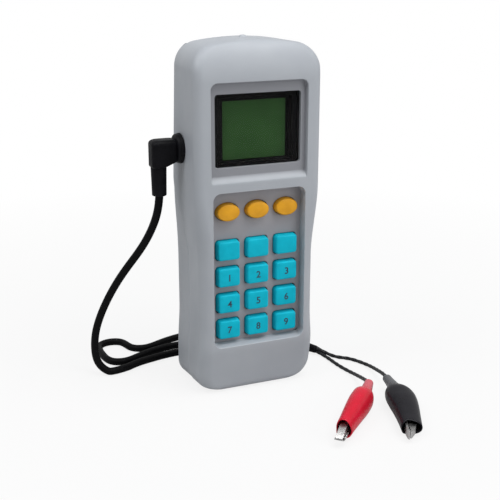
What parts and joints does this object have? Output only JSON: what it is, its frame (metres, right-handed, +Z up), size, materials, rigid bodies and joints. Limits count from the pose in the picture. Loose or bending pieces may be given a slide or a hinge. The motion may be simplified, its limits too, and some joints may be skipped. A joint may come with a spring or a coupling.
{
  "type": "hand-held component tester",
  "caption": "Grey hand-held component tester with a sunken display, coloured rubber keys and a right-angle test lead that ends in red and black crocodile clips.",
  "frame": {"origin": "middle of the flat bottom end of the case, on the surface that it stands on", "axes": "+Z up along the case, -Y out of the display and keypad, +X to the right of the keypad as its user sees it"},
  "size_m": [0.1428, 0.1687, 0.179],
  "materials": {
    "case_plastic": "fine textured satin",
    "panel_plastic": "matt",
    "clear_window": "clear polished",
    "black_plastic": "matt",
    "display_glass": "green liquid crystal, off",
    "circuit_board": "solder mask",
    "silicone_mat": "matt",
    "amber_key": "satin",
    "cyan_key": "satin",
    "plated_metal": "bright nickel plate",
    "battery_can": "printed can",
    "black_moulding": "satin",
    "cable_jacket": "satin",
    "red_vinyl": "glossy soft vinyl",
    "black_vinyl": "glossy soft vinyl"
  },
  "bodies": {
    "case": {"front_shell": "case_plastic", "rear_shell": "case_plastic", "battery_door": "case_plastic", "case_screws": "plated_metal", "door_screw": "plated_metal", "display_window": "clear_window", "display_frame": "black_plastic", "lcd_panel": "display_glass", "lcd_board": "circuit_board", "keypad_panel": "panel_plastic", "key_mat": "silicone_mat", "main_board": "circuit_board", "board_screws": "plated_metal", "board_chips": "black_plastic", "buzzer": "black_plastic", "battery": "battery_can", "battery_terminals": "plated_metal", "battery_contacts": "black_plastic", "lead_socket": "black_plastic", "socket_pin": "plated_metal"},
    "lead": {"plug_barrel": "plated_metal", "plug_body": "black_moulding", "plug_sleeve": "black_moulding", "test_cable": "cable_jacket", "lead_splitter": "black_moulding", "red_lead": "cable_jacket", "black_lead": "cable_jacket", "red_lower_jaw": "plated_metal", "red_hinge_pin": "plated_metal", "red_spring": "plated_metal", "red_lower_boot": "red_vinyl", "black_lower_jaw": "plated_metal", "black_hinge_pin": "plated_metal", "black_spring": "plated_metal", "black_lower_boot": "black_vinyl"},
    "red_clip_top": {"red_upper_jaw": "plated_metal", "red_upper_boot": "red_vinyl"},
    "black_clip_top": {"black_upper_jaw": "plated_metal", "black_upper_boot": "black_vinyl"},
    "oval_key_left_cap": {"oval_key_left": "amber_key"},
    "oval_key_middle_cap": {"oval_key_middle": "amber_key"},
    "oval_key_right_cap": {"oval_key_right": "amber_key"},
    "function_key_left_cap": {"function_key_left": "cyan_key"},
    "function_key_middle_cap": {"function_key_middle": "cyan_key"},
    "function_key_right_cap": {"function_key_right": "cyan_key"},
    "key_1_cap": {"key_1": "cyan_key"},
    "key_2_cap": {"key_2": "cyan_key"},
    "key_3_cap": {"key_3": "cyan_key"},
    "key_4_cap": {"key_4": "cyan_key"},
    "key_5_cap": {"key_5": "cyan_key"},
    "key_6_cap": {"key_6": "cyan_key"},
    "key_7_cap": {"key_7": "cyan_key"},
    "key_8_cap": {"key_8": "cyan_key"},
    "key_9_cap": {"key_9": "cyan_key"}
  },
  "joints": [
    {"name": "oval_key_left_press", "type": "slide", "parent": "case", "child": "oval_key_left_cap", "axis": [0, 1, 0], "range_m": [0, 0.0012], "stiffness_N_per_m": 400, "springref_m": -0.0008},
    {"name": "oval_key_middle_press", "type": "slide", "parent": "case", "child": "oval_key_middle_cap", "axis": [0, 1, 0], "range_m": [0, 0.0012], "stiffness_N_per_m": 400, "springref_m": -0.0008},
    {"name": "oval_key_right_press", "type": "slide", "parent": "case", "child": "oval_key_right_cap", "axis": [0, 1, 0], "range_m": [0, 0.0012], "stiffness_N_per_m": 400, "springref_m": -0.0008},
    {"name": "function_key_left_press", "type": "slide", "parent": "case", "child": "function_key_left_cap", "axis": [0, 1, 0], "range_m": [0, 0.0012], "stiffness_N_per_m": 400, "springref_m": -0.0008},
    {"name": "function_key_middle_press", "type": "slide", "parent": "case", "child": "function_key_middle_cap", "axis": [0, 1, 0], "range_m": [0, 0.0012], "stiffness_N_per_m": 400, "springref_m": -0.0008},
    {"name": "function_key_right_press", "type": "slide", "parent": "case", "child": "function_key_right_cap", "axis": [0, 1, 0], "range_m": [0, 0.0012], "stiffness_N_per_m": 400, "springref_m": -0.0008},
    {"name": "key_1_press", "type": "slide", "parent": "case", "child": "key_1_cap", "axis": [0, 1, 0], "range_m": [0, 0.0012], "stiffness_N_per_m": 400, "springref_m": -0.0008},
    {"name": "key_2_press", "type": "slide", "parent": "case", "child": "key_2_cap", "axis": [0, 1, 0], "range_m": [0, 0.0012], "stiffness_N_per_m": 400, "springref_m": -0.0008},
    {"name": "key_3_press", "type": "slide", "parent": "case", "child": "key_3_cap", "axis": [0, 1, 0], "range_m": [0, 0.0012], "stiffness_N_per_m": 400, "springref_m": -0.0008},
    {"name": "key_4_press", "type": "slide", "parent": "case", "child": "key_4_cap", "axis": [0, 1, 0], "range_m": [0, 0.0012], "stiffness_N_per_m": 400, "springref_m": -0.0008},
    {"name": "key_5_press", "type": "slide", "parent": "case", "child": "key_5_cap", "axis": [0, 1, 0], "range_m": [0, 0.0012], "stiffness_N_per_m": 400, "springref_m": -0.0008},
    {"name": "key_6_press", "type": "slide", "parent": "case", "child": "key_6_cap", "axis": [0, 1, 0], "range_m": [0, 0.0012], "stiffness_N_per_m": 400, "springref_m": -0.0008},
    {"name": "key_7_press", "type": "slide", "parent": "case", "child": "key_7_cap", "axis": [0, 1, 0], "range_m": [0, 0.0012], "stiffness_N_per_m": 400, "springref_m": -0.0008},
    {"name": "key_8_press", "type": "slide", "parent": "case", "child": "key_8_cap", "axis": [0, 1, 0], "range_m": [0, 0.0012], "stiffness_N_per_m": 400, "springref_m": -0.0008},
    {"name": "key_9_press", "type": "slide", "parent": "case", "child": "key_9_cap", "axis": [0, 1, 0], "range_m": [0, 0.0012], "stiffness_N_per_m": 400, "springref_m": -0.0008},
    {"name": "plug_pull", "type": "slide", "parent": "case", "child": "lead", "axis": [-1, 0, 0], "range_m": [0, 0.01]},
    {"name": "red_jaw_open", "type": "hinge", "parent": "lead", "child": "red_clip_top", "pos_m": [0.02669, -0.07231, 0.00614], "axis": [-0.7071, 0.7071, 0], "range_deg": [0, 18], "stiffness_Nm_per_rad": 0.1, "springref_deg": -28.65, "deforming": ["red_spring"]},
    {"name": "black_jaw_open", "type": "hinge", "parent": "lead", "child": "black_clip_top", "pos_m": [0.05144, -0.07604, 0.00517], "axis": [-0.0139, -0.032, 0.9994], "range_deg": [0, 18], "stiffness_Nm_per_rad": 0.1, "springref_deg": -28.65, "deforming": ["black_spring"]}
  ]
}
